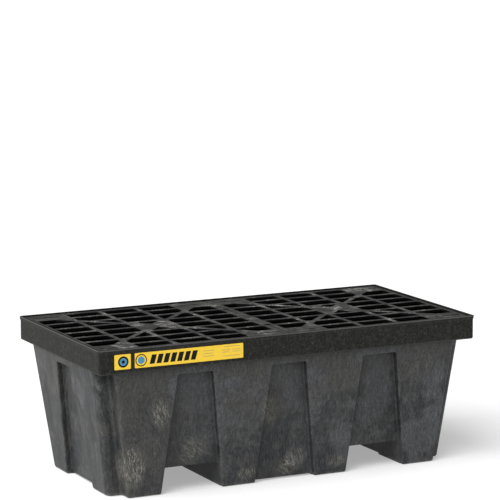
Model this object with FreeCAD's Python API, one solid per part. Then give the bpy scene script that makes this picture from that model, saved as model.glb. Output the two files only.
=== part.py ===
"""Two-drum spill containment pallet: a moulded sump with fork tunnels, two lift-out deck
grates that rest in its rim, tube posts that hold the grates up inside, and two label films.

Frame: origin on the floor under the centre, +X along the length, +Y towards the rear, +Z up.
The front, with the labels, faces -Y. Sizes are in millimetres.
"""
import FreeCAD, Part
import math
import os
from FreeCAD import Vector

# Overall size, measured over the lip of the rim.
LENGTH = 1245.0
WIDTH = 635.0
HEIGHT = 457.0

# Sump walls.
WALL = 6.0
CHANNEL_HEIGHT = 5.0        # drain and sling channel between the foot pads
FLOOR = WALL + CHANNEL_HEIGHT

# Rim, the upright band around the deck.
RIM_HEIGHT = 72.5
RIM_CORNER = 8.0            # radius of its upright corners
RIM_FOOT_ROUND = 5.0        # radius of its lower edge
POCKET_CORNER = 6.0         # radius of the corners around the deck
LIP_REACH = 2.5             # how far the lip stands out past the band
LIP_HEIGHT = 6.0
LIP_TAPER = 6.0             # height of the slope under the lip
EDGE_ROUND = 1.5

# Tub, the tapered box under the rim. Steps are the ledges left under the rim's outer face.
END_STEP = 9.5
SIDE_STEP = 21.5
END_DRAFT = 0.1364          # inward run per unit of fall
SIDE_DRAFT = 0.087
NOTCH_X = 45.0              # square notch at each upright corner
NOTCH_Y = 46.0
PANEL_ROUND = 10.0          # upright corners of the long panels and of the notches
END_ROUND = 20.0            # upright corners of the end panels
FOOT_ROUND = 8.0            # lower edge

# Flutes, the tapered grooves pressed into the panels.
FLUTE_PITCH = 306.0         # also the distance from the middle to each fork tunnel
FLUTE_DEPTH = 20.0
FLUTE_DROP = 22.5           # from the rim down to the top of a flute
SIDE_FLUTE_TOP = 112.0
SIDE_FLUTE_FOOT = 200.0
END_FLUTE_TOP = 96.0
END_FLUTE_FOOT = 204.0
FLUTE_ROUND = 6.0
FLUTE_LIP_ROUND = 4.0

# Fork tunnels, which pass right through under the tub in line with the outer flutes.
TUNNEL_HEIGHT = 76.0
TUNNEL_ROUND = 8.0

# Deck grates: two of the same moulding, one turned half round.
GRATE_TOP_DROP = 3.0        # deck surface below the top of the rim
GRATE_CLEARANCE = 3.0       # to the rim all round
SEAM_GAP = 2.0              # between the two grates
FLANGE = 8.0                # thickness of the top flange of every rib
RIB_X = 14.0                # flange width of the ribs that run along X
RIB_Y = 15.0                # flange width of the ribs that run along Y
WEB = 6.0                   # thickness of the upright web under each flange
END_BAR = 12.0              # outer bar next to the end of the rim
SEAM_BAR = 19.0
SIDE_BAR = 18.0
DIAGONAL = 16.0
BOWTIE_HALF = 19.0          # half width of the filled cross at the middle
COLUMNS = 5
ROWS = 8
SLOT_ROUND = 4.0
SMALLEST_SLOT = 600.0       # corners smaller than this area are moulded solid
RIB_EDGE_ROUND = 2.0
GRATE_CORNER = 6.0
GROOVE_LENGTH = 88.0        # shallow groove in each corner plate
GROOVE_WIDTH = 8.0
GROOVE_DEPTH = 2.0
GROOVE_ROUND = 3.5
GROOVE_INSET = 41.0         # from the grate's long edge to the groove
FINGER_RADIUS = 9.0         # half-round notch in the seam edge
FINGER_OFFSET = 145.0

# Posts, plain tubes that stand in rings on the sump's floor and on the tunnel roofs.
POST_RADIUS = 45.0
POST_WALL = 4.0
POST_CLEARANCE = 1.0        # between a post and its ring
RING_WALL = 5.0
RING_HEIGHT = 10.0
SEAM_POST_OFFSET = 88.0     # from the middle, short of the finger notches
ROOF_POST_OFFSET = 140.0

# Labels, thin films on the front of the rim.
LABEL_THICKNESS = 0.6
LABEL_HEIGHT = 44.0
LABEL_FOOT = 13.5           # above the lower edge of the rim
LABEL_ROUND = 3.0
LABEL_INSET = 46.0          # from the left end of the band to the small label
SMALL_LABEL_LENGTH = 51.0
LABEL_SPACE = 12.5
LONG_LABEL_LENGTH = 346.0

RIM_FOOT_Z = HEIGHT - RIM_HEIGHT
LEDGE_Z = RIM_FOOT_Z + WALL
BAND_X = LENGTH / 2 - LIP_REACH
BAND_Y = WIDTH / 2 - LIP_REACH
POCKET_X = BAND_X - WALL
POCKET_Y = BAND_Y - WALL
FLUTE_TOP_Z = RIM_FOOT_Z - FLUTE_DROP
GRATE_TOP_Z = HEIGHT - GRATE_TOP_DROP
GRATE_LENGTH = POCKET_X - GRATE_CLEARANCE - SEAM_GAP / 2
GRATE_WIDTH = 2 * (POCKET_Y - GRATE_CLEARANCE)
GRATE_CENTRE_X = SEAM_GAP / 2 + GRATE_LENGTH / 2
ROOF_Z = TUNNEL_HEIGHT + WALL
OVERSHOOT = 10.0            # how far a cutter runs past the face that it cuts
TOUCHING = 0.01             # gap under which two places count as one
BESIDE = 0.5                # the same for the middle of a drafted edge
CORNER_SHARE = 0.45         # most of a side that one rounded corner may take


def half_length(z):
    """Half length of the tub's outer faces at height z."""
    return BAND_X - END_STEP - END_DRAFT * (RIM_FOOT_Z - z)


def half_width(z):
    """Half width of the tub's outer faces at height z."""
    return BAND_Y - SIDE_STEP - SIDE_DRAFT * (RIM_FOOT_Z - z)


def box(x0, y0, z0, x1, y1, z1):
    """A box between two opposite corners."""
    return Part.makeBox(x1 - x0, y1 - y0, z1 - z0, Vector(x0, y0, z0))


def turned(shape, degrees):
    """A copy turned about the Z axis."""
    copy = shape.copy()
    copy.rotate(Vector(0, 0, 0), Vector(0, 0, 1), degrees)
    return copy


def polygon(points):
    """A closed wire through points."""
    return Part.makePolygon(points + points[:1])


def upright(edge):
    """True for a straight edge that climbs, with or without draft."""
    return edge.BoundBox.ZLength > 0.9 * edge.Length


def edges_at_height(shape, z):
    """The edges that lie level at height z."""
    return [edge for edge in shape.Edges
            if abs(edge.BoundBox.ZMin - z) < TOUCHING and abs(edge.BoundBox.ZMax - z) < TOUCHING]


def tub_body(inset, z0, z1, panel_round, end_round):
    """The tapered tub with notched corners, set in by inset, with its upright edges rounded."""

    def outline(z):
        a = half_length(z) - inset
        b = half_width(z) - inset
        quarter = [(a - NOTCH_X, b), (a - NOTCH_X, b - NOTCH_Y), (a, b - NOTCH_Y)]
        ring = quarter
        ring = ring + [(x, -y) for x, y in reversed(quarter)]
        ring = ring + [(-x, -y) for x, y in quarter]
        ring = ring + [(-x, y) for x, y in reversed(quarter)]
        return polygon([Vector(x, y, z) for x, y in ring])

    body = Part.makeLoft([outline(z0), outline(z1)], True, True)
    middle = (z0 + z1) / 2
    end_x = half_length(middle) - inset
    end_edges = [edge for edge in body.Edges
                 if upright(edge) and abs(abs(edge.CenterOfMass.x) - end_x) < BESIDE]
    body = body.makeFillet(end_round, end_edges)
    panel_edges = [edge for edge in body.Edges
                   if upright(edge) and abs(abs(edge.CenterOfMass.x) - end_x + NOTCH_X) < BESIDE]
    body = body.makeFillet(panel_round, panel_edges)
    return body.makeFillet(FOOT_ROUND, edges_at_height(body, z0))


def flute_body(reach, top_half, foot_half, margin):
    """A tapered block that cuts a flute in the front (-Y) panel, or backs it when margin > 0."""
    top = FLUTE_TOP_Z + margin

    def outline(z):
        half = foot_half + (top_half - foot_half) * z / FLUTE_TOP_Z + margin
        back = -(reach(z) - FLUTE_DEPTH - margin)
        front = -(reach(z) + OVERSHOOT)
        return polygon([Vector(-half, back, z), Vector(half, back, z),
                        Vector(half, front, z), Vector(-half, front, z)])

    body = Part.makeLoft([outline(-OVERSHOOT), outline(top)], True, True)
    face_y = -reach(top)
    edges = [edge for edge in edges_at_height(body, top) if edge.BoundBox.YMax > face_y]
    edges += [edge for edge in body.Edges
              if upright(edge) and edge.CenterOfMass.y > -reach(edge.CenterOfMass.z)]
    return body.makeFillet(FLUTE_ROUND, edges)


def all_flutes(margin):
    """Every flute's block: three on each long side and one on each end."""
    side = flute_body(half_width, SIDE_FLUTE_TOP / 2, SIDE_FLUTE_FOOT / 2, margin)
    end = flute_body(half_length, END_FLUTE_TOP / 2, END_FLUTE_FOOT / 2, margin)
    blocks = []
    for place in (-1, 0, 1):
        front = side.translated(Vector(place * FLUTE_PITCH, 0, 0))
        blocks += [front, turned(front, 180)]
    return blocks + [turned(end, 90), turned(end, -90)]


def tunnel_body(centre_x, margin, foot_z):
    """A fork tunnel's space, or the block around it when margin > 0."""
    reach_y = WIDTH / 2
    slope = (SIDE_FLUTE_FOOT - SIDE_FLUTE_TOP) / 2 / FLUTE_TOP_Z
    top = TUNNEL_HEIGHT + margin
    foot_half = SIDE_FLUTE_FOOT / 2 - slope * foot_z + margin
    top_half = SIDE_FLUTE_FOOT / 2 - slope * top + margin
    section = polygon([Vector(centre_x - foot_half, -reach_y, foot_z),
                       Vector(centre_x + foot_half, -reach_y, foot_z),
                       Vector(centre_x + top_half, -reach_y, top),
                       Vector(centre_x - top_half, -reach_y, top)])
    body = Part.Face(section).extrude(Vector(0, 2 * reach_y, 0))
    roof_edges = [edge for edge in edges_at_height(body, top)
                  if edge.BoundBox.YLength > reach_y]
    return body.makeFillet(TUNNEL_ROUND, roof_edges)


def foot_channels():
    """Shallow channels under the tub, which leave separate foot pads."""
    side_half = SIDE_FLUTE_FOOT / 2
    end_half = END_FLUTE_FOOT / 2
    far_x = half_length(0) + OVERSHOOT
    across = box(-side_half, -WIDTH / 2, -OVERSHOOT, side_half, WIDTH / 2, CHANNEL_HEIGHT)
    along = box(FLUTE_PITCH, -end_half, -OVERSHOOT, far_x, end_half, CHANNEL_HEIGHT)
    return [across, along, turned(along, 180)]


def rectangle(half_x, half_y):
    """The corners of a rectangle about the middle."""
    return [(-half_x, -half_y), (half_x, -half_y), (half_x, half_y), (-half_x, half_y)]


def rounded_plate(half_x, half_y, z0, z1, radius):
    """A flat box with round upright corners."""
    plate = box(-half_x, -half_y, z0, half_x, half_y, z1)
    return plate.makeFillet(radius, [edge for edge in plate.Edges if upright(edge)])


def rim_body():
    """The band with its rounded lower edge and the lip around its top."""
    band = rounded_plate(BAND_X, BAND_Y, RIM_FOOT_Z, HEIGHT, RIM_CORNER)
    band = band.makeFillet(RIM_FOOT_ROUND, edges_at_height(band, RIM_FOOT_Z))
    lip_z = HEIGHT - LIP_HEIGHT
    lip_x = BAND_X + LIP_REACH
    lip_y = BAND_Y + LIP_REACH
    lip = rounded_plate(lip_x, lip_y, lip_z, HEIGHT, RIM_CORNER + LIP_REACH)
    lip = lip.makeFillet(EDGE_ROUND, edges_at_height(lip, HEIGHT))
    low = rounded_wire(rectangle(BAND_X, BAND_Y), RIM_CORNER, lip_z - LIP_TAPER)
    high = rounded_wire(rectangle(lip_x, lip_y), RIM_CORNER + LIP_REACH, lip_z)
    slope = Part.makeLoft([low, high], True, True)
    return band.fuse([lip, slope])


def post_places():
    """Each post as (name, x, y, foot height)."""
    places = []
    for row, step in (("front", -1), ("rear", 1)):
        places.append(("seam_post_" + row, 0.0, step * SEAM_POST_OFFSET, FLOOR))
        for side, direction in (("left", -1), ("right", 1)):
            places.append(("roof_post_" + side + "_" + row, direction * FLUTE_PITCH,
                           step * ROOF_POST_OFFSET, ROOF_Z))
    return places


def tube(x, y, z0, z1, outer, inner):
    """An upright tube."""
    base = Vector(x, y, z0)
    return Part.makeCylinder(outer, z1 - z0, base).cut(Part.makeCylinder(inner, z1 - z0, base))


def flute_outline_edges(body):
    """The edges where each flute opens onto its panel, above the rounded foot."""

    def on_face(points, axis, reach):
        return all(abs(abs(getattr(point, axis)) - reach(point.z)) < TOUCHING
                   for point in points)

    found = []
    for edge in body.Edges:
        middle = edge.CenterOfMass
        if middle.z < FOOT_ROUND or middle.z > FLUTE_TOP_Z + BESIDE:
            continue
        points = [vertex.Point for vertex in edge.Vertexes] + [middle]
        off_centre = min(abs(middle.x - place * FLUTE_PITCH) for place in (-1, 0, 1))
        beside_side_flute = off_centre < SIDE_FLUTE_FOOT / 2
        beside_end_flute = abs(middle.y) < END_FLUTE_FOOT / 2
        if beside_side_flute and on_face(points, "y", half_width):
            found.append(edge)
        elif beside_end_flute and on_face(points, "x", half_length):
            found.append(edge)
    return found


def sump():
    """The one-piece sump: tub, flutes, fork tunnels, foot channels, rim and post rings."""
    body = tub_body(0, 0, RIM_FOOT_Z + OVERSHOOT, PANEL_ROUND, END_ROUND)
    body = body.cut(all_flutes(0))
    body = body.makeFillet(FLUTE_LIP_ROUND, flute_outline_edges(body))
    tunnels = [tunnel_body(side * FLUTE_PITCH, 0, -OVERSHOOT) for side in (-1, 1)]
    body = body.cut(tunnels + foot_channels())
    body = body.fuse(rim_body()).removeSplitter()

    cavity = tub_body(WALL, FLOOR, LEDGE_Z + OVERSHOOT, PANEL_ROUND, END_ROUND - WALL)
    blocks = [tunnel_body(side * FLUTE_PITCH, WALL, 0) for side in (-1, 1)]
    cavity = cavity.cut(all_flutes(WALL) + blocks)
    pocket = rounded_plate(POCKET_X, POCKET_Y, LEDGE_Z, HEIGHT + OVERSHOOT, POCKET_CORNER)
    body = body.cut([cavity, pocket])

    ring_inner = POST_RADIUS + POST_CLEARANCE
    rings = [tube(x, y, foot - WALL / 2, foot + RING_HEIGHT, ring_inner + RING_WALL, ring_inner)
             for _, x, y, foot in post_places()]
    return body.fuse(rings).removeSplitter()


def cut_strip(points, normal, offset):
    """The part of a convex outline that lies past offset along normal."""
    kept = []
    for here, there in zip(points, points[1:] + points[:1]):
        near = here[0] * normal[0] + here[1] * normal[1] - offset
        far = there[0] * normal[0] + there[1] * normal[1] - offset
        if near >= 0:
            kept.append(here)
        if near * far < 0:
            share = near / (near - far)
            kept.append((here[0] + share * (there[0] - here[0]),
                         here[1] + share * (there[1] - here[1])))
    return kept


def area(points):
    """Area of an outline."""
    total = 0.0
    for (x0, y0), (x1, y1) in zip(points, points[1:] + points[:1]):
        total += x0 * y1 - x1 * y0
    return abs(total) / 2


def rounded_wire(points, radius, z):
    """A convex outline as a wire with its corners rounded, no more than its sides allow."""
    starts = []
    ends = []
    arcs = []
    count = len(points)
    for index in range(count):
        here = Vector(points[index][0], points[index][1], z)
        before = Vector(points[index - 1][0], points[index - 1][1], z)
        after = Vector(points[(index + 1) % count][0], points[(index + 1) % count][1], z)
        into = (before - here).normalize()
        out = (after - here).normalize()
        half_angle = math.acos(max(-1.0, min(1.0, into.dot(out)))) / 2
        room = CORNER_SHARE * min((before - here).Length, (after - here).Length)
        trim = min(radius / math.tan(half_angle), room)
        bend = trim * math.tan(half_angle)
        first = here + into * trim
        last = here + out * trim
        towards = (into + out).normalize()
        centre = here + towards * (bend / math.sin(half_angle))
        starts.append(last)
        ends.append(first)
        arcs.append(Part.Arc(first, centre - towards * bend, last).toShape())
    edges = []
    for index in range(count):
        edges.append(arcs[index])
        edges.append(Part.makeLine(starts[index], ends[(index + 1) % count]))
    return Part.Wire(edges)


def slot_outlines():
    """Outlines of the open slots in a grate, its seam edge towards +X."""
    half_x = GRATE_LENGTH / 2
    half_y = GRATE_WIDTH / 2
    pitch_x = GRATE_LENGTH / COLUMNS
    pitch_y = GRATE_WIDTH / ROWS
    slant = math.hypot(half_x, half_y)
    normals = [(half_y / slant, -half_x / slant), (half_y / slant, half_x / slant)]
    outlines = []
    for column in range(COLUMNS):
        x0 = -half_x + (column * pitch_x + RIB_Y / 2 if column else END_BAR)
        last_column = column == COLUMNS - 1
        x1 = half_x - SEAM_BAR if last_column else -half_x + (column + 1) * pitch_x - RIB_Y / 2
        for row in range(ROWS):
            y0 = -half_y + (row * pitch_y + RIB_X / 2 if row else SIDE_BAR)
            last_row = row == ROWS - 1
            y1 = half_y - SIDE_BAR if last_row else -half_y + (row + 1) * pitch_y - RIB_X / 2
            if column in (0, COLUMNS - 1) and row in (0, ROWS - 1):
                continue
            middle = column == COLUMNS // 2 and row in (ROWS // 2 - 1, ROWS // 2)
            strip = BOWTIE_HALF if middle else DIAGONAL / 2
            pieces = [[(x0, y0), (x1, y0), (x1, y1), (x0, y1)]]
            for nx, ny in normals:
                pieces = [cut_strip(piece, (side * nx, side * ny), strip)
                          for piece in pieces for side in (-1, 1)]
                pieces = [piece for piece in pieces if len(piece) > 2]
            outlines += [piece for piece in pieces if area(piece) > SMALLEST_SLOT]
    return outlines


def web_lines():
    """The centre lines of a grate's webs as ((x, y), (x, y))."""
    half_x = GRATE_LENGTH / 2
    half_y = GRATE_WIDTH / 2
    left = -half_x + END_BAR / 2
    right = half_x - SEAM_BAR / 2
    low = -half_y + SIDE_BAR / 2
    high = -low
    xs = [left] + [-half_x + n * GRATE_LENGTH / COLUMNS for n in range(1, COLUMNS)] + [right]
    ys = [low] + [-half_y + n * GRATE_WIDTH / ROWS for n in range(1, ROWS)] + [high]
    lines = [((x, low), (x, high)) for x in xs] + [((left, y), (right, y)) for y in ys]
    return lines + [((left, low), (right, high)), ((left, high), (right, low))]


def web(start, end):
    """One upright web along a line, from the ledge up into the flange."""
    run = Vector(end[0] - start[0], end[1] - start[1], 0)
    top = GRATE_TOP_Z - FLANGE / 2
    block = box(-WEB / 2, -WEB / 2, LEDGE_Z, run.Length + WEB / 2, WEB / 2, top)
    block.rotate(Vector(0, 0, 0), Vector(0, 0, 1), math.degrees(math.atan2(run.y, run.x)))
    block.translate(Vector(start[0], start[1], 0))
    return block


def grate():
    """A deck grate centred on the Z axis, its seam edge towards +X."""
    half_x = GRATE_LENGTH / 2
    half_y = GRATE_WIDTH / 2
    plate = rounded_plate(half_x, half_y, GRATE_TOP_Z - FLANGE, GRATE_TOP_Z, GRATE_CORNER)
    slots = []
    for outline in slot_outlines():
        face = Part.Face(rounded_wire(outline, SLOT_ROUND, GRATE_TOP_Z - 2 * FLANGE))
        slots.append(face.extrude(Vector(0, 0, 3 * FLANGE)))
    plate = plate.cut(slots)
    plate = plate.makeFillet(RIB_EDGE_ROUND, edges_at_height(plate, GRATE_TOP_Z))

    grooves = []
    for side_x, inset_x in ((-1, END_BAR), (1, SEAM_BAR)):
        for side_y in (-1, 1):
            near = side_x * (half_x - inset_x)
            far = side_x * (half_x - inset_x - GROOVE_LENGTH)
            y = side_y * (half_y - GROOVE_INSET)
            groove = box(min(near, far), y - GROOVE_WIDTH / 2, GRATE_TOP_Z - GROOVE_DEPTH,
                         max(near, far), y + GROOVE_WIDTH / 2, HEIGHT)
            corners = [edge for edge in groove.Edges if upright(edge)]
            grooves.append(groove.makeFillet(GROOVE_ROUND, corners))

    webs = [web(start, end) for start, end in web_lines()]
    body = plate.fuse(webs).removeSplitter()
    fingers = [Part.makeCylinder(FINGER_RADIUS, HEIGHT, Vector(half_x, side * FINGER_OFFSET, 0))
               for side in (-1, 1)]
    return body.cut(grooves + fingers)


def label(x0, length):
    """A label film on the front of the rim, starting at x0."""
    foot = RIM_FOOT_Z + LABEL_FOOT
    film = box(x0, -BAND_Y - LABEL_THICKNESS, foot, x0 + length, -BAND_Y, foot + LABEL_HEIGHT)
    corners = [edge for edge in film.Edges if edge.BoundBox.YLength > LABEL_THICKNESS / 2]
    return film.makeFillet(LABEL_ROUND, corners)


def main():
    os.makedirs("parts", exist_ok=True)
    deck = grate()
    small_label_x = -BAND_X + LABEL_INSET
    long_label_x = small_label_x + SMALL_LABEL_LENGTH + LABEL_SPACE
    nodes = {
        "sump": sump(),
        "grate_left": deck.translated(Vector(-GRATE_CENTRE_X, 0, 0)),
        "grate_right": turned(deck, 180).translated(Vector(GRATE_CENTRE_X, 0, 0)),
        "label_small": label(small_label_x, SMALL_LABEL_LENGTH),
        "label_long": label(long_label_x, LONG_LABEL_LENGTH),
    }
    for name, x, y, foot in post_places():
        nodes[name] = tube(x, y, foot, LEDGE_Z, POST_RADIUS, POST_RADIUS - POST_WALL)
    for name, shape in nodes.items():
        shape.exportStep("parts/" + name + ".step")
        print(name, len(shape.Solids), shape.isValid(), round(shape.Volume))


main()
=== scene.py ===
"""Spill containment pallet: finishes, labels, posts and studio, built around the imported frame."""

import math
from types import SimpleNamespace

import bpy
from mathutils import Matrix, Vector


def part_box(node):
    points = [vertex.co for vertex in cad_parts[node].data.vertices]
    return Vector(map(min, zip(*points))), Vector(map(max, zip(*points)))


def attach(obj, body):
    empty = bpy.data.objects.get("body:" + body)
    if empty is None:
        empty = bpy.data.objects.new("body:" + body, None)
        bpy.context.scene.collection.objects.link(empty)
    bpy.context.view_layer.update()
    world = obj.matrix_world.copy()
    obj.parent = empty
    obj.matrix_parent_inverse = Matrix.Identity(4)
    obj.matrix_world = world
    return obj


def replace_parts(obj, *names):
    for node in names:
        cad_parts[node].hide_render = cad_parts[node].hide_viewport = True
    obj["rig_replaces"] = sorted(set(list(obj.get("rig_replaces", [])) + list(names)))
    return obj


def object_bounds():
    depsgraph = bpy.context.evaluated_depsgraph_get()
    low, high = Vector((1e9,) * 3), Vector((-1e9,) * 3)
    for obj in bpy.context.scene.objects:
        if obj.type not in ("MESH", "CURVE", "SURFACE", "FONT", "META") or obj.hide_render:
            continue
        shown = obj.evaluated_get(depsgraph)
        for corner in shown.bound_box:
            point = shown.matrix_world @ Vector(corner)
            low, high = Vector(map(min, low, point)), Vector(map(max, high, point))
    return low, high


bl_info = {
    "name": "Spill Containment Pallet",
    "version": (1, 0, 0),
    "blender": (4, 5, 0),
    "location": "View3D > Sidebar > Spill Pallet",
    "description": "Finishes the packed spill pallet and sets it in a plain studio",
    "category": "Object",
}

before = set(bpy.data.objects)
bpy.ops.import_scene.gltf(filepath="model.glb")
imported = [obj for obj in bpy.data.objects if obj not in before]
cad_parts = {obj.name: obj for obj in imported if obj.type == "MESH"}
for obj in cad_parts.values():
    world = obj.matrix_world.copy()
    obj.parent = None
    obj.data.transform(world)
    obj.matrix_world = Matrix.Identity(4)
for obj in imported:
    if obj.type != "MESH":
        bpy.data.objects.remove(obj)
CAD_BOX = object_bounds()

MM = 0.001
SUMP_BODY = "sump"
GRATES = ("grate_left", "grate_right")
SEAM_POSTS = ("seam_post_front", "seam_post_rear")
ROOF_POSTS = (
    "roof_post_left_front", "roof_post_left_rear", "roof_post_right_front", "roof_post_right_rear",
)
SMALL_LABEL = "label_small"
LONG_LABEL = "label_long"

END_X, SIDE_Y, TOP_Z = CAD_BOX[1]       # outer faces and top of the rim
RIM_FOOT = TOP_Z - 72.5 * MM            # lower edge of the rim band
PANEL_FOOT_Y = 260.0 * MM               # half width over the long panels at the floor
PANEL_HEAD_Y = 293.5 * MM               # the same under the rim
FLUTES_END_X = 530 * MM                 # no flute of a long side reaches so far out
ENDS_X = (520 * MM, 570 * MM)           # the tub's ends take over from its sides here

GRATE_LOW, GRATE_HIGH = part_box("grate_right")
GRATE_MIDDLE_X = (GRATE_LOW.x + GRATE_HIGH.x) / 2
TREAD_Z = GRATE_HIGH.z

LABEL_CORNER = 3 * MM
SMALL_RING_SHIFT = 2 * MM               # to the right of the label's middle
SMALL_RING = 16.5 * MM                  # this and the next five are radii
SMALL_DISC = 11.3 * MM
SMALL_DOT = 5 * MM
LONG_RING = 18 * MM
LONG_RING_HOLE = 15 * MM
LONG_DISC = 11 * MM
LONG_RING_INSET = 20 * MM               # from the label's left end to the ring's middle
BAR_INSET = 46 * MM                     # from the label's left end to the first bar
BAR_WIDTH = 15.5 * MM
BAR_HEIGHT = 27 * MM
BAR_LEAN = 8 * MM
BAR_PITCH = 21.7 * MM
BAR_COUNT = 7
LINE_THICKNESS = 1.6 * MM
LINES = (
    # left end from the label's right end, length, height above its foot, in millimetres
    (128, 36, 30), (128, 30, 22), (128, 34, 14),
    (62, 52, 37), (70, 28, 27), (36, 26, 27), (70, 24, 21), (36, 28, 21), (66, 54, 9),
)

SMOOTH_ANGLE = math.radians(35)
CAMERA_PLACE = (-3.42307, -7.04711, 1.90309)
CAMERA_ROLL = 0.00424
SENSOR_WIDTH = 36.0
FAR_CLIP = 300.0
KEY_PLACE = (-2.5, -1.2, 3.0)
KEY_DIRECTION = (0.64, 0.26, -0.72)
FLOOR_SIZE = 240.0
FLOOR_DROP = 0.5 * MM                   # below the pallet's feet


# ---------------------------------------------------------------- settings


class PlasticSettings(bpy.types.PropertyGroup):
    """Colours and texture of the charcoal polyethylene tub."""

    body: bpy.props.FloatVectorProperty(
        name="Tub colour", description="Charcoal of the tub's panels", subtype="COLOR",
        size=4, min=0, max=1, default=(0.047, 0.047, 0.0455, 1),
    )
    rim: bpy.props.FloatVectorProperty(
        name="Rim colour", description="Darker, cleaner charcoal of the rim band", subtype="COLOR",
        size=4, min=0, max=1, default=(0.0085, 0.0085, 0.0068, 1),
    )
    cloud: bpy.props.FloatVectorProperty(
        name="Marbling colour", description="Bluish grey of the marbled clouds", subtype="COLOR",
        size=4, min=0, max=1, default=(0.058, 0.0595, 0.062, 1),
    )
    smudge: bpy.props.FloatVectorProperty(
        name="Smudge colour", description="Dark borders round the marbled clouds", subtype="COLOR",
        size=4, min=0, max=1, default=(0.018, 0.020, 0.024, 1),
    )
    scuff: bpy.props.FloatVectorProperty(
        name="Scuff colour", description="Pale brushed scuffs", subtype="COLOR",
        size=4, min=0, max=1, default=(0.28, 0.27, 0.23, 1),
    )
    # painted highlight: this grey draws the pale lines along the rim's lip and foot
    edge: bpy.props.FloatVectorProperty(
        name="Edge colour", description="Neutral grey of the rim's rubbed lip and foot", subtype="COLOR",
        size=4, min=0, max=1, default=(0.25, 0.25, 0.25, 1),
    )
    roughness: bpy.props.FloatProperty(
        name="Roughness", description="Middle roughness of the plastic",
        default=0.52, min=0.1, max=1, subtype="FACTOR",
    )
    grain_height: bpy.props.FloatProperty(
        name="Grain height", description="Depth of the drawn grain",
        default=0.0004, min=0, max=0.005, unit="LENGTH",
    )


class GrateSettings(bpy.types.PropertyGroup):
    """Colours and roughness of the two lift-off grates."""

    # dust and painted sheen: the tread is also lighter in place of the glancing reflection off the rib
    # tops
    tread: bpy.props.FloatVectorProperty(
        name="Tread colour", description="Dusty, walked-on top of the ribs", subtype="COLOR",
        size=4, min=0, max=1, default=(0.082, 0.080, 0.078, 1),
    )
    clean: bpy.props.FloatVectorProperty(
        name="Clean tread colour", description="Tread that no one has walked on", subtype="COLOR",
        size=4, min=0, max=1, default=(0.034, 0.034, 0.034, 1),
    )
    # painted shade: the ribs' sides are near black, as black plastic and as the shade deep in the slots
    rib_black_and_shade: bpy.props.FloatVectorProperty(
        name="Rib colour", description="Clean black sides of the ribs", subtype="COLOR",
        size=4, min=0, max=1, default=(0.002, 0.002, 0.002, 1),
    )
    scrape: bpy.props.FloatVectorProperty(
        name="Scrape colour", description="Pale scrapes left by drum rims", subtype="COLOR",
        size=4, min=0, max=1, default=(0.36, 0.355, 0.345, 1),
    )
    roughness: bpy.props.FloatProperty(
        name="Roughness", description="Middle roughness of the tread",
        default=0.6, min=0.1, max=1, subtype="FACTOR",
    )


class PostSettings(bpy.types.PropertyGroup):
    """Sizes of the support posts under the grates."""

    wall: bpy.props.FloatProperty(
        name="Wall", description="Wall of a post",
        default=0.004, min=0.001, max=0.02, unit="LENGTH",
    )
    edge: bpy.props.FloatProperty(
        name="Edge rounding", description="Rounding of a post's rims",
        default=0.001, min=0.0002, max=0.0019, unit="LENGTH",
    )
    segments: bpy.props.IntProperty(
        name="Segments", description="Flats round a post", default=96, min=12, max=256,
    )


class LabelSettings(bpy.types.PropertyGroup):
    """Colours of the two rim labels and the height of their printing."""

    film: bpy.props.FloatVectorProperty(
        name="Film colour", description="Yellow of the label film", subtype="COLOR",
        size=4, min=0, max=1, default=(0.90, 0.60, 0.025, 1),
    )
    ink: bpy.props.FloatVectorProperty(
        name="Ink colour", description="Black ink of the bars and rings", subtype="COLOR",
        size=4, min=0, max=1, default=(0.008, 0.008, 0.008, 1),
    )
    disc: bpy.props.FloatVectorProperty(
        name="Disc colour", description="Blue ink of the discs", subtype="COLOR",
        size=4, min=0, max=1, default=(0.045, 0.245, 0.43, 1),
    )
    line: bpy.props.FloatVectorProperty(
        name="Line colour", description="Faint grey ink of the thin lines", subtype="COLOR",
        size=4, min=0, max=1, default=(0.42, 0.33, 0.12, 1),
    )
    print_height: bpy.props.FloatProperty(
        name="Print height", description="How far the ink stands above the film",
        default=0.00012, min=0.00005, max=0.0005, unit="LENGTH",
    )


class StudioSettings(bpy.types.PropertyGroup):
    """Camera, key light and surround."""

    azimuth: bpy.props.FloatProperty(
        name="Azimuth", description="Turn of the camera about the upright axis",
        default=-0.45431, subtype="ANGLE",
    )
    elevation: bpy.props.FloatProperty(
        name="Elevation", description="Downward tilt of the camera",
        default=0.15732, subtype="ANGLE",
    )
    lens: bpy.props.FloatProperty(
        name="Lens", description="Focal length in millimetres", default=187.33, min=20, max=400,
    )
    key: bpy.props.FloatProperty(
        name="Key light", description="Strength of the broad light from the upper left",
        default=3.5, min=0, max=20,
    )
    spread: bpy.props.FloatProperty(
        name="Key softness", description="Angle that the broad light fills",
        default=1.0, min=0, max=3, subtype="ANGLE",
    )
    surround: bpy.props.FloatProperty(
        name="Surround", description="Strength of the white surround", default=0.32, min=0, max=3,
    )


# ---------------------------------------------------------------- materials


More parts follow.
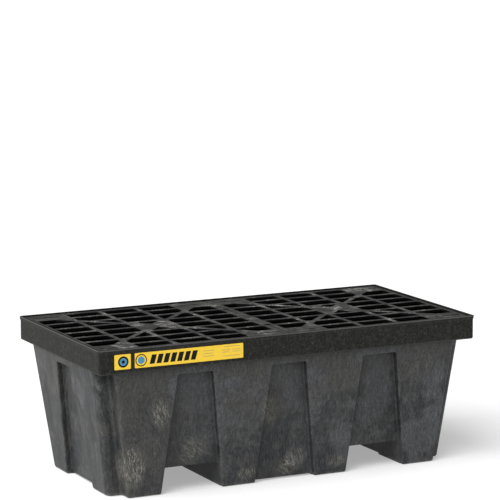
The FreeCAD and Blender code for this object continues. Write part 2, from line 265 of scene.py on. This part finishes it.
class Recipe:
    """A material being mixed; each method adds nodes and gives back their result."""

    def __init__(self, name):
        self.material = bpy.data.materials.new(name)
        self.material.use_nodes = True
        self.tree = self.material.node_tree
        self.shader = self.tree.nodes["Principled BSDF"]
        self.place = self.add("ShaderNodeTexCoord").outputs["Object"]

    def add(self, kind, feeds=(), **settings):
        """A new node, with its settings and its sockets' feeds."""
        node = self.tree.nodes.new(kind)
        for name, value in settings.items():
            setattr(node, name, value)
        for socket, value in feeds:
            self.feed(node.inputs[socket], value)
        return node

    def feed(self, socket, value):
        """Links another node's result to the socket, or sets a constant on it."""
        if isinstance(value, bpy.types.NodeSocket):
            self.tree.links.new(value, socket)
        else:
            socket.default_value = value

    def vector(self, operation, first, second):
        feeds = ((0, first), (1, second))
        return self.add("ShaderNodeVectorMath", feeds, operation=operation).outputs["Vector"]

    def vector_of(self, x, y, z):
        """One vector from three numbers."""
        return self.add("ShaderNodeCombineXYZ", ((0, x), (1, y), (2, z))).outputs[0]

    def part(self, vector, axis):
        """One number from a vector."""
        return self.add("ShaderNodeSeparateXYZ", ((0, vector),)).outputs[axis]

    def length(self, vector):
        return self.add("ShaderNodeVectorMath", ((0, vector),), operation="LENGTH").outputs["Value"]

    def folded(self):
        """The place mirrored into the right rear quarter."""
        feeds = ((0, self.place),)
        return self.add("ShaderNodeVectorMath", feeds, operation="ABSOLUTE").outputs[0]

    def plan_distance(self, vector, centre):
        """How far a place is from the upright line through the centre."""
        offset = self.vector("SUBTRACT", vector, centre)
        return self.length(self.vector("MULTIPLY", offset, (1.0, 1.0, 0.0)))

    def number(self, operation, first, second, clamp=False):
        feeds = ((0, first), (1, second))
        return self.add("ShaderNodeMath", feeds, operation=operation, use_clamp=clamp).outputs[0]

    def times(self, first, *others):
        """The product of all the numbers."""
        for other in others:
            first = self.number("MULTIPLY", first, other)
        return first

    def plus(self, first, *others):
        """The sum of all the numbers."""
        for other in others:
            first = self.number("ADD", first, other)
        return first

    def span(self, value, low, high, start=0.0, end=1.0, soft=True):
        """The value's way from low to high, as a number from start to end."""
        feeds = ((0, value), (1, low), (2, high), (3, start), (4, end))
        smooth = "SMOOTHSTEP" if soft else "LINEAR"
        return self.add("ShaderNodeMapRange", feeds, interpolation_type=smooth).outputs[0]

    def noise(self, vector, scale, detail=2.0, roughness=0.5, distortion=0.0, output=0):
        feeds = (("Vector", vector), ("Scale", scale), ("Detail", detail), ("Roughness", roughness),
                 ("Distortion", distortion))
        return self.add("ShaderNodeTexNoise", feeds).outputs[output]

    def streaks(self, vector, scales, detail, roughness):
        """Noise with its own scale along each axis, drawn out where that is small."""
        return self.noise(self.vector("MULTIPLY", vector, scales), 1.0, detail, roughness)

    def warped(self, vector, scale, reach):
        """The place pushed about by a slow noise, so that straight streaks bend."""
        push = self.vector("SUBTRACT", self.noise(vector, scale, output=1), (0.5, 0.5, 0.5))
        return self.vector("ADD", vector, self.vector("MULTIPLY", push, (reach, reach, reach)))

    def blend(self, factor, first, second):
        """The first colour or vector where factor is 0, the second where it is 1."""
        feeds = ((0, factor), (6, first), (7, second))
        return self.add("ShaderNodeMix", feeds, data_type="RGBA").outputs[2]

    def scaled(self, colour, factor):
        """The colour times a number."""
        return self.vector("MULTIPLY", colour, self.vector_of(factor, factor, factor))

    def bump(self, height, distance, strength, below=None):
        """A bumped normal, on top of the one below where there is one."""
        feeds = [("Height", height), ("Distance", distance), ("Strength", strength)]
        if below is not None:
            feeds.append(("Normal", below))
        return self.add("ShaderNodeBump", feeds).outputs[0]

    def open_air(self, reach):
        """How open the surface is within reach: 1 on a flat face, less in a corner; the tub darkens by
        it as painted shade.
        """
        feeds = (("Distance", reach),)
        return self.add("ShaderNodeAmbientOcclusion", feeds, samples=6, only_local=True).outputs["AO"]

    def finish(self, **sockets):
        """Feeds the shader's own sockets and gives back the material."""
        for name, value in sockets.items():
            self.feed(self.shader.inputs[name.replace("_", " ")], value)
        return self.material


SCUFFS = (
    # middle (x, z), half width, half height, lean to the right, strength
    (-0.500, 0.092, 0.042, 0.066, 0.15, 1.00),
    (-0.418, 0.250, 0.032, 0.048, 0.35, 0.85),
    (-0.300, 0.122, 0.056, 0.044, 0.75, 0.55),
    (-0.058, 0.220, 0.036, 0.045, 0.40, 0.50),
    (0.030, 0.048, 0.062, 0.036, 0.60, 0.75),
    (-0.134, 0.032, 0.036, 0.024, 0.30, 0.60),
    (0.169, 0.040, 0.034, 0.024, -0.20, 0.55),
)
SCUFF_Y = -0.29                     # the front panels, about halfway up
SCUFF_DEPTH = 0.12                  # reach of a scuff in from there
SCUFF_STROKES = (430.0, 300.0, 62.0)    # how fine its strokes are across, into and along it
FAN = 0.13                          # from a scuff's middle down to where its strokes meet
LOOSE_Y = (-0.24, -0.12)            # loose scuffs fade in between, behind the front panels


def scuff(mix, number, x, z, half_width, half_height, lean):
    """One scuff: the distance from its middle, 1 at its border, and its fanned strokes."""
    feeds = (("Vector", mix.vector("SUBTRACT", mix.place, (x, SCUFF_Y, z))), ("Angle", lean))
    turned = mix.add("ShaderNodeVectorRotate", feeds, rotation_type="Y_AXIS").outputs[0]
    across, up = mix.part(turned, 0), mix.part(turned, 2)
    fanned = mix.number("DIVIDE", mix.times(across, FAN), mix.plus(up, FAN))
    fine, into, along = SCUFF_STROKES
    strokes = mix.vector_of(
        mix.times(fanned, fine), mix.plus(mix.times(mix.part(mix.place, 1), into), 9.0 * number),
        mix.times(up, along),
    )
    sizes = (1 / half_width, 1 / SCUFF_DEPTH, 1 / half_height)
    return mix.length(mix.vector("MULTIPLY", turned, sizes)), strokes


def scuffs(mix):
    """Pale strokes that fan out of spots on the front, loose ones behind, and the spots' dark rims."""
    loose = mix.span(mix.noise(mix.place, 3.3, 2.0), 0.56, 0.80, 0.0, 0.45)
    mask = mix.times(loose, mix.span(mix.part(mix.place, 1), *LOOSE_Y))
    halo = 0.0
    run = mix.vector("MULTIPLY", mix.warped(mix.place, 14.0, 0.04), (420, 420, 60))
    for number, (*shape, strength) in enumerate(SCUFFS):
        reach, strokes = scuff(mix, number, *shape)
        spot = mix.span(reach, 1.25, 0.45, 0.0, strength)
        halo = mix.number("MAXIMUM", halo, mix.span(reach, 2.1, 1.15, 0.0, strength))
        run = mix.blend(mix.number("GREATER_THAN", spot, 0.0), run, strokes)
        mask = mix.number("MAXIMUM", mask, spot)
    strokes = mix.span(mix.noise(run, 1.0, 4.0, 0.6, 0.9), 0.46, 0.66, 0.05, 1.0)
    ragged = mix.span(mix.noise(mix.place, 38.0, 3.0), 0.35, 0.65, -0.25, 0.3)
    mask = mix.number("MAXIMUM", mix.times(mask, mix.plus(ragged, 0.9)), 0.0)
    smeared = mix.span(mix.noise(mix.warped(mix.place, 30.0, 0.03), 22.0, 4.0, 0.7), 0.44, 0.60)
    return mix.number("MULTIPLY", strokes, mask, clamp=True), mix.times(halo, smeared)


def tub_cues(mix):
    """The zones and textures that the tub's colour, shade and roughness share."""
    bent = mix.warped(mix.warped(mix.place, 2.6, 0.16), 9.0, 0.05)
    folded = mix.folded()
    height = mix.part(mix.place, 2)
    on_rim = mix.span(height, RIM_FOOT - 2 * MM, RIM_FOOT + 2 * MM)
    return SimpleNamespace(
        out=mix.part(folded, 0), aside=mix.part(folded, 1), height=height,
        on_rim=on_rim, off_rim=mix.number("SUBTRACT", 1.0, on_rim),
        broad=mix.streaks(bent, (26, 26, 5), 3.0, 0.6),
        drips=mix.streaks(bent, (75, 75, 6), 3.0, 0.6),
        grain=mix.streaks(bent, (190, 190, 34), 5.0, 0.65),
        hair=mix.streaks(mix.warped(bent, 16.0, 0.05), (400, 400, 90), 3.0, 0.7),
        speck=mix.noise(mix.place, 170.0, 4.0, 0.75),
    )


def tub_colour(mix, cues, settings):
    """Bluish clouds with smudged borders on the body, and a mottled dark rim."""
    cloud = mix.noise(mix.warped(mix.place, 6.0, 0.12), 5.5, 6.0, 0.62)
    colour = mix.blend(mix.span(cloud, 0.50, 0.60), settings.body, settings.cloud)
    border = mix.times(mix.span(cloud, 0.38, 0.475), mix.span(cloud, 0.58, 0.485))
    low_down = mix.span(cues.height, 0.34, 0.04, -0.08, 0.13)
    on_ends = mix.span(cues.out, 0.54, 0.58, 0.0, 0.10)
    zone = mix.span(mix.plus(mix.noise(mix.place, 2.6, 2.0), low_down, on_ends), 0.42, 0.62)
    smudged = mix.times(border, zone, mix.span(cues.grain, 0.38, 0.58, 1.0, 0.45))
    colour = mix.blend(smudged, colour, settings.smudge)
    mottled = mix.times(
        mix.span(cues.speck, 0.34, 0.66, 0.15, 2.0), mix.span(cues.grain, 0.3, 0.7, 0.6, 1.5),
    )
    return mix.blend(cues.on_rim, colour, mix.scaled(settings.rim[:3], mottled))


def tub_shade(mix, cues):
    """Light and dark of the drawn grain and of drips down the ends, with painted shade in the flutes,
    corners and creases.
    """
    panel = mix.span(cues.height, 0.0, RIM_FOOT, PANEL_FOOT_Y, PANEL_HEAD_Y, False)
    sunk = mix.span(mix.number("SUBTRACT", panel, cues.aside), 8 * MM, 14 * MM)
    beside = mix.span(cues.out, FLUTES_END_X, FLUTES_END_X - 30 * MM)
    in_flute = mix.times(sunk, beside, cues.off_rim)
    weakest = mix.span(cues.out, *ENDS_X, 0.95, 0.68)
    strongest = mix.span(cues.out, *ENDS_X, 1.05, 1.32)
    return mix.times(
        mix.span(cues.grain, 0.33, 0.67, 0.58, 1.46, False),
        mix.span(cues.hair, 0.3, 0.7, 0.62, 1.38, False),
        mix.span(cues.broad, 0.3, 0.7, 0.84, 1.16, False),
        mix.span(cues.speck, 0.3, 0.7, 0.74, 1.26, False),
        mix.span(cues.drips, 0.36, 0.64, weakest, strongest, False),
        # painted shade: darker in the flutes, where less light reaches
        mix.span(in_flute, 0.0, 1.0, 1.0, 0.83, False),
        # painted shade: darker in corners, under the rim and in creases, from the occlusion within 70
        # and 12 mm
        mix.span(mix.open_air(70 * MM), 0.30, 0.85, 0.30, 1.0, False),
        mix.span(mix.open_air(12 * MM), 0.35, 0.85, 0.45, 1.0, False),
    )


def tub_edges(mix, cues, settings, colour):
    """The colour with a rubbed foot on the tub and painted highlights along the rim's lip and foot."""
    patchy = mix.span(mix.noise(mix.place, 60.0, 3.0), 0.4, 0.7)
    rubbed = mix.times(mix.span(cues.height, 12 * MM, 0.0, 0.0, 0.35), patchy)
    at_end = mix.span(cues.out, END_X - 3 * MM, END_X - 1 * MM)
    at_side = mix.span(cues.aside, SIDE_Y - 3 * MM, SIDE_Y - 1 * MM)
    # painted highlight: a pale line along the rim's top edge on its outer faces
    at_top = mix.span(cues.height, TOP_Z - 3.5 * MM, TOP_Z - 1.5 * MM, 0.0, 0.28)
    lip = mix.times(mix.number("MAXIMUM", at_end, at_side), at_top)
    # painted highlight: a faint pale line just above the rim's lower edge
    painted_foot_line = mix.span(cues.height, RIM_FOOT + 6 * MM, RIM_FOOT + 3 * MM, 0.0, 0.06)
    foot = mix.times(cues.on_rim, painted_foot_line)
    colour = mix.blend(rubbed, colour, settings.scuff)
    return mix.blend(mix.number("MAXIMUM", foot, lip), colour, settings.edge)


def tub_material(settings):
    """Charcoal polyethylene: drawn grain, marbled clouds, pale brushed scuffs, darker rim, painted shade
    in flutes and corners, painted highlights on the rim's lip and foot.
    """
    mix = Recipe("charcoal_polyethylene")
    cues = tub_cues(mix)
    colour = mix.scaled(tub_colour(mix, cues, settings), tub_shade(mix, cues))
    strokes, halo = scuffs(mix)
    strokes = mix.times(strokes, cues.off_rim)
    halo = mix.times(halo, mix.span(cues.grain, 0.36, 0.60, 1.0, 0.5), cues.off_rim)
    colour = mix.blend(halo, colour, settings.smudge)
    colour = mix.blend(strokes, colour, settings.scuff)
    colour = tub_edges(mix, cues, settings, colour)
    rough = mix.plus(
        mix.span(cues.grain, 0.3, 0.7, -0.12, 0.14, False), settings.roughness,
        mix.times(cues.on_rim, 0.12), mix.times(strokes, 0.2),
    )
    low = mix.bump(mix.noise(mix.place, 9.0, 2.0), 3 * MM, 0.35)
    drawn = mix.bump(cues.grain, settings.grain_height, 0.9, low)
    sand = mix.bump(mix.plus(cues.speck, cues.hair), 0.15 * MM, 0.9, drawn)
    return mix.finish(Base_Color=colour, Roughness=rough, Normal=sand, Specular_IOR_Level=0.26)


DRUM_MIDDLE = (-GRATE_MIDDLE_X, -0.02, 0.0)     # where a drum has stood on the left grate
DRUM_RING = (0.262, 0.270, 0.284, 0.292)        # its scrape fades in and out at these radii


def tread_colour(mix, settings, dust):
    """Dust over clean plastic, pale scrapes about each grate's middle, and a darker border along the
    rim.
    """
    rubbed = mix.streaks(mix.warped(mix.place, 12.0, 0.05), (55, 160, 60), 4.0, 0.65)
    folded = mix.folded()
    tread = mix.blend(mix.span(dust, 0.40, 0.60), settings.clean, settings.tread)
    from_middle = mix.plan_distance(folded, (GRATE_MIDDLE_X, 0.0, 0.0))
    worn = mix.plus(dust, mix.span(from_middle, 0.10, 0.02, 0.0, 0.09))
    scraped = mix.times(mix.span(worn, 0.53, 0.66), mix.span(rubbed, 0.47, 0.62))
    tread = mix.blend(scraped, tread, settings.scrape)
    # darker towards the grate's outer edges, next to the rim
    at_side = mix.span(mix.part(folded, 1), GRATE_HIGH.y - 21 * MM, GRATE_HIGH.y - 14 * MM)
    at_end = mix.span(mix.part(folded, 0), GRATE_HIGH.x - 17 * MM, GRATE_HIGH.x - 11 * MM)
    border = mix.number("MAXIMUM", at_side, at_end)
    return mix.blend(mix.times(border, 0.6), tread, settings.clean)


def grate_material(settings):
    """Black polyethylene with a dusty, scraped tread on top of the ribs, painted sheen on the tread and
    painted shade on the ribs' sides.
    """
    mix = Recipe("black_grate_polyethylene")
    top = mix.span(mix.part(mix.place, 2), TREAD_Z - 1.6 * MM, TREAD_Z - 0.2 * MM)
    dust = mix.noise(mix.warped(mix.place, 9.0, 0.05), 14.0, 6.0, 0.68, 0.4)
    grain = mix.streaks(mix.warped(mix.place, 5.0, 0.04), (200, 40, 60), 4.0, 0.65)
    speck = mix.noise(mix.place, 450.0, 2.0, 0.6)
    # painted light: below the tread the sides take the near-black colour as painted shade; the lighter
    # tread is dust and painted sheen
    colour = mix.blend(top, settings.rib_black_and_shade, tread_colour(mix, settings, dust))
    shade = mix.times(
        mix.span(grain, 0.33, 0.67, 0.6, 1.4, False), mix.span(speck, 0.25, 0.75, 0.75, 1.25, False),
    )
    colour = mix.scaled(colour, shade)
    radius = mix.plan_distance(mix.place, DRUM_MIDDLE)
    ring_in, ring_full, ring_fading, ring_out = DRUM_RING
    ring = mix.times(mix.span(radius, ring_in, ring_full), mix.span(radius, ring_out, ring_fading))
    scrape = mix.times(ring, top, mix.span(grain, 0.45, 0.62, 0.0, 0.35))
    colour = mix.blend(scrape, colour, settings.scrape)
    rough = mix.plus(mix.span(dust, 0.3, 0.7, -0.1, 0.15, False), settings.roughness)
    sand = mix.bump(speck, 0.12 * MM, 0.8, mix.bump(grain, 0.3 * MM, 0.8))
    return mix.finish(Base_Color=colour, Roughness=rough, Normal=sand, Specular_IOR_Level=0.1)


def post_material():
    """Extruded black pipe: die lines along its length."""
    mix = Recipe("black_pipe_polyethylene")
    lines = mix.streaks(mix.place, (300, 300, 6), 3.0, 0.6)
    speck = mix.noise(mix.place, 500.0, 2.0, 0.6)
    colour = mix.scaled((0.018, 0.018, 0.018), mix.span(lines, 0.25, 0.75, 0.6, 1.5, False))
    rough = mix.span(lines, 0.3, 0.7, 0.42, 0.62, False)
    sand = mix.bump(speck, 0.1 * MM, 0.6, mix.bump(lines, 0.2 * MM, 0.6))
    return mix.finish(Base_Color=colour, Roughness=rough, Normal=sand, Specular_IOR_Level=0.45)


def film_material(name, colour, roughness=0.32, gloss=0.5):
    """Printed vinyl: faintly uneven colour, rubbed dull in places."""
    mix = Recipe(name)
    blotch = mix.noise(mix.place, 60.0, 4.0, 0.6)
    speck = mix.noise(mix.place, 900.0, 2.0, 0.5)
    shade = mix.plus(
        mix.span(blotch, 0.3, 0.7, 0.93, 1.03, False), mix.span(speck, 0.2, 0.8, -0.03, 0.03, False),
    )
    rough = mix.plus(mix.span(blotch, 0.35, 0.7, -0.08, 0.15, False), roughness)
    return mix.finish(
        Base_Color=mix.scaled(colour[:3], shade), Roughness=rough,
        Normal=mix.bump(speck, 0.05 * MM, 0.4), Specular_IOR_Level=gloss,
    )


def floor_material():
    """Matt white paper, faintly mottled and faintly glowing."""
    mix = Recipe("white_paper_sweep")
    shade = mix.span(mix.noise(mix.place, 3.0, 3.0), 0.3, 0.7, 0.985, 1.0, False)
    return mix.finish(
        Base_Color=mix.scaled((0.7, 0.7, 0.7), shade), Roughness=0.9, Specular_IOR_Level=0.1,
        Emission_Color=(1, 1, 1, 1), Emission_Strength=0.35,
    )


def dress(piece, material):
    """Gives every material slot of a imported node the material."""
    for slot in piece.material_slots:
        slot.material = material


# ---------------------------------------------------------------- modelling steps


def begin(name):
    """Renames the primitive just added and opens it for editing, all selected."""
    piece = bpy.context.object
    piece.name = name
    piece.data.name = name
    bpy.ops.object.transform_apply(location=True, rotation=True, scale=True)
    bpy.ops.object.mode_set(mode="EDIT")
    bpy.ops.mesh.select_all(action="SELECT")
    return piece


def deselect():
    """Leaves edit mode and selects nothing."""
    if bpy.context.object is not None and bpy.context.object.mode != "OBJECT":
        bpy.ops.object.mode_set(mode="OBJECT")
    bpy.ops.object.select_all(action="DESELECT")


def end(piece, material, slot):
    """Closes editing and gives the piece its material, shading and body."""
    bpy.ops.mesh.select_all(action="SELECT")
    bpy.ops.mesh.normals_make_consistent(inside=False)
    bpy.ops.object.mode_set(mode="OBJECT")
    bpy.ops.object.shade_smooth_by_angle(angle=SMOOTH_ANGLE)
    piece.data.materials.clear()
    piece.data.materials.append(material)
    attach(piece, SUMP_BODY)
    return piece


def modify(piece, kind, **settings):
    """Adds a modifier and applies it."""
    modifier = piece.modifiers.new(kind.title(), kind)
    for name, value in settings.items():
        setattr(modifier, name, value)
    bpy.ops.object.modifier_apply(modifier=modifier.name)


def copied(piece, name, move):
    """A copy with its own mesh, which is what moves."""
    twin = piece.copy()
    twin.data = piece.data.copy()
    twin.name = name
    twin.data.name = name
    twin.parent = None
    bpy.context.collection.objects.link(twin)
    deselect()
    twin.select_set(True)
    bpy.context.view_layer.objects.active = twin
    bpy.ops.object.mode_set(mode="EDIT")
    bpy.ops.mesh.select_all(action="SELECT")
    bpy.ops.transform.translate(value=move)
    bpy.ops.object.mode_set(mode="OBJECT")
    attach(twin, SUMP_BODY)
    return twin


def sheet_piece(name, low, high, back, depth, rounding):
    """A thin upright sheet on the rim's face: corners rounded, pulled forwards by its depth."""
    deselect()
    centre = ((low[0] + high[0]) / 2, back, (low[1] + high[1]) / 2)
    bpy.ops.mesh.primitive_plane_add(size=1, location=centre, rotation=(math.pi / 2, 0, 0))
    piece = begin(name)
    bpy.ops.transform.resize(value=(high[0] - low[0], 1, high[1] - low[1]), center_override=centre)
    if rounding:
        bpy.ops.mesh.bevel(offset=rounding, segments=8, affect="VERTICES")
        bpy.ops.mesh.select_all(action="SELECT")
    bpy.ops.mesh.extrude_region_move(TRANSFORM_OT_translate={"value": (0, -depth, 0)})
    return piece


def disc_piece(name, centre, radius, back, depth, hole=0.0):
    """A round spot of ink, or a ring of it where hole is its inner radius."""
    deselect()
    bpy.ops.mesh.primitive_circle_add(
        vertices=64, radius=radius, fill_type="NGON",
        location=(centre[0], back, centre[1]), rotation=(math.pi / 2, 0, 0),
    )
    piece = begin(name)
    if hole:
        bpy.ops.mesh.inset(thickness=radius - hole, depth=0)
        bpy.ops.mesh.delete(type="FACE")
        bpy.ops.mesh.select_all(action="SELECT")
    bpy.ops.mesh.extrude_region_move(TRANSFORM_OT_translate={"value": (0, -depth, 0)})
    return piece


def joined(pieces, name):
    """One piece from several."""
    deselect()
    for piece in pieces:
        piece.select_set(True)
    bpy.context.view_layer.objects.active = pieces[0]
    bpy.ops.object.join()
    whole = bpy.context.object
    whole.name = name
    whole.data.name = name
    return whole


# ---------------------------------------------------------------- operators


class PALLET_OT_tub(bpy.types.Operator):
    """Finish the tub in marbled charcoal polyethylene."""

    bl_idname = "pallet.tub"
    bl_label = "Finish Tub"

    def execute(self, context):
        dress(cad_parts["sump"], tub_material(context.scene.pallet_plastic))
        return {"FINISHED"}


class PALLET_OT_grates(bpy.types.Operator):
    """Finish the two lift-off grates."""

    bl_idname = "pallet.grates"
    bl_label = "Finish Grates"

    def execute(self, context):
        material = grate_material(context.scene.pallet_grate)
        for name in GRATES:
            dress(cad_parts[name], material)
        return {"FINISHED"}


class PALLET_OT_posts(bpy.types.Operator):
    """Model the posts that carry the grates."""

    bl_idname = "pallet.posts"
    bl_label = "Model Posts"

    def post(self, settings, node, material):
        """A pipe with rounded rims, in place of the node."""
        low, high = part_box(node)
        middle = (low + high) / 2
        deselect()
        bpy.ops.mesh.primitive_circle_add(
            vertices=settings.segments, radius=(high.x - low.x) / 2, fill_type="NOTHING",
            location=(middle.x, middle.y, low.z),
        )
        piece = begin(node + "_pipe")
        bpy.ops.mesh.extrude_region_move(TRANSFORM_OT_translate={"value": (0, 0, high.z - low.z)})
        bpy.ops.mesh.select_all(action="SELECT")
        bpy.ops.mesh.normals_make_consistent(inside=False)
        bpy.ops.object.mode_set(mode="OBJECT")
        modify(piece, "SOLIDIFY", thickness=settings.wall, offset=-1)
        modify(
            piece, "BEVEL", width=settings.edge, segments=3,
            limit_method="ANGLE", angle_limit=math.radians(60),
        )
        bpy.ops.object.mode_set(mode="EDIT")
        end(piece, material, "post_plastic")
        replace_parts(piece, node)
        return piece

    def execute(self, context):
        material = post_material()
        for group in (SEAM_POSTS, ROOF_POSTS):
            first = self.post(context.scene.pallet_post, group[0], material)
            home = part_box(group[0])[0]
            for node in group[1:]:
                twin = copied(first, node + "_pipe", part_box(node)[0] - home)
                twin["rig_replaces"] = []    # the copy doesn't stand for the first post's node
                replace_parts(twin, node)
        return {"FINISHED"}


class PALLET_OT_labels(bpy.types.Operator):
    """Model the two yellow rim labels and their plain printing."""

    bl_idname = "pallet.labels"
    bl_label = "Model Labels"

    def film(self, node, material):
        """A film in place of the node; gives back its box."""
        low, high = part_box(node)
        piece = sheet_piece(
            node + "_film", (low.x, low.z), (high.x, high.z), high.y, high.y - low.y, LABEL_CORNER,
        )
        end(piece, material, "label_film")
        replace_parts(piece, node)
        return low, high

    def execute(self, context):
        settings = context.scene.pallet_label
        depth = settings.print_height
        film = film_material("yellow_vinyl", settings.film)
        ink = film_material("black_ink", settings.ink, 0.5, 0.12)
        blue = film_material("blue_ink", settings.disc)
        grey = film_material("grey_ink", settings.line)
        low, high = self.film(SMALL_LABEL, film)
        middle = ((low.x + high.x) / 2 + SMALL_RING_SHIFT, (low.z + high.z) / 2)
        ring = disc_piece("label_small_ring", middle, SMALL_RING, low.y, depth, SMALL_DISC)
        end(ring, ink, "label_film")
        end(disc_piece("label_small_disc", middle, SMALL_DISC, low.y, depth), blue, "label_film")
        end(disc_piece("label_small_dot", middle, SMALL_DOT, low.y - depth, depth), ink, "label_film")
        low, high = self.film(LONG_LABEL, film)
        middle = (low.x + LONG_RING_INSET, (low.z + high.z) / 2)
        ring = disc_piece("label_long_ring", middle, LONG_RING, low.y, depth, LONG_RING_HOLE)
        end(ring, ink, "label_film")
        end(disc_piece("label_long_disc", middle, LONG_DISC, low.y, depth), blue, "label_film")
        self.bars(low, high, ink, depth)
        self.lines(low, high, grey, depth)
        return {"FINISHED"}

    def bars(self, low, high, ink, depth):
        """Slanted bars in a row, where a label of this kind has its bold printing."""
        left = low.x + BAR_INSET
        middle = (low.z + high.z) / 2
        foot, head = middle - BAR_HEIGHT / 2, middle + BAR_HEIGHT / 2
        first = sheet_piece("bar", (left, foot), (left + BAR_WIDTH, head), low.y, depth, 0)
        bpy.ops.object.mode_set(mode="OBJECT")
        mesh = first.data
        for vertex in mesh.vertices:
            vertex.select = vertex.co.z > middle
        for item in (*mesh.edges, *mesh.polygons):
            item.select = all(mesh.vertices[i].select for i in item.vertices)
        bpy.ops.object.mode_set(mode="EDIT")
        bpy.ops.transform.translate(value=(BAR_LEAN, 0, 0))
        end(first, ink, "label_film")
        copies = [copied(first, "bar", (BAR_PITCH * step, 0, 0)) for step in range(1, BAR_COUNT)]
        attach(joined([first] + copies, "label_long_bars"), SUMP_BODY)

    def lines(self, low, high, grey, depth):
        """Thin plain lines, where a label of this kind has its small print."""
        pieces = []
        for start, length, up in LINES:
            x, z = high.x - start * MM, low.z + up * MM
            corner = (x + length * MM, z + LINE_THICKNESS)
            piece = sheet_piece("line", (x, z), corner, low.y, depth, 0)
            pieces.append(end(piece, grey, "label_film"))
        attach(joined(pieces, "label_long_lines"), SUMP_BODY)


class PALLET_OT_studio(bpy.types.Operator):
    """Set the white floor, the surround, the soft key light and the camera."""

    bl_idname = "pallet.studio"
    bl_label = "Set Studio"

    def execute(self, context):
        settings = context.scene.pallet_studio
        deselect()
        bpy.ops.mesh.primitive_plane_add(size=FLOOR_SIZE, location=(0, 0, -FLOOR_DROP))
        floor = context.object
        floor.name = "studio_floor"
        bpy.ops.object.transform_apply(location=True, rotation=True, scale=True)
        floor.data.materials.append(floor_material())
        world = bpy.data.worlds.new("studio_surround")
        world.use_nodes = True
        background = world.node_tree.nodes["Background"]
        background.inputs["Color"].default_value = (1, 1, 1, 1)
        background.inputs["Strength"].default_value = settings.surround
        context.scene.world = world
        bpy.ops.object.light_add(type="SUN", location=KEY_PLACE)
        lamp = context.object
        lamp.name = "key_light"
        lamp.data.energy = settings.key
        lamp.data.angle = settings.spread
        lamp.rotation_euler = Vector(KEY_DIRECTION).to_track_quat("-Z", "Y").to_euler()
        bpy.ops.object.camera_add(
            location=CAMERA_PLACE,
            rotation=(math.pi / 2 - settings.elevation, CAMERA_ROLL, settings.azimuth),
        )
        camera = context.object
        camera.name = "studio_camera"
        camera.data.lens = settings.lens
        camera.data.sensor_width = SENSOR_WIDTH
        camera.data.clip_end = FAR_CLIP
        context.scene.camera = camera
        context.scene.view_settings.view_transform = "Standard"
        return {"FINISHED"}


class PALLET_PT_sidebar(bpy.types.Panel):
    """Lists the pallet's steps and settings."""

    bl_idname = "PALLET_PT_sidebar"
    bl_label = "Spill Pallet"
    bl_space_type = "VIEW_3D"
    bl_region_type = "UI"
    bl_category = "Spill Pallet"

    def draw(self, context):
        for operator in OPERATORS:
            self.layout.operator(operator.bl_idname)
        for name in SETTINGS:
            group = getattr(context.scene, name)
            box = self.layout.box()
            for key in group.bl_rna.properties.keys():
                if key not in ("rna_type", "name"):
                    box.prop(group, key)


SETTINGS = {
    "pallet_plastic": PlasticSettings,
    "pallet_grate": GrateSettings,
    "pallet_post": PostSettings,
    "pallet_label": LabelSettings,
    "pallet_studio": StudioSettings,
}
OPERATORS = (PALLET_OT_tub, PALLET_OT_grates, PALLET_OT_posts, PALLET_OT_labels, PALLET_OT_studio)
CLASSES = tuple(SETTINGS.values()) + OPERATORS + (PALLET_PT_sidebar,)


def register():
    for cls in CLASSES:
        bpy.utils.register_class(cls)
    for name, group in SETTINGS.items():
        setattr(bpy.types.Scene, name, bpy.props.PointerProperty(type=group))


def unregister():
    for name in SETTINGS:
        delattr(bpy.types.Scene, name)
    for cls in reversed(CLASSES):
        bpy.utils.unregister_class(cls)


def main():
    """Registers the add-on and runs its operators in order."""
    register()
    bpy.ops.pallet.tub()
    bpy.ops.pallet.grates()
    bpy.ops.pallet.posts()
    bpy.ops.pallet.labels()
    bpy.ops.pallet.studio()


if __name__ == "__main__":
    main()
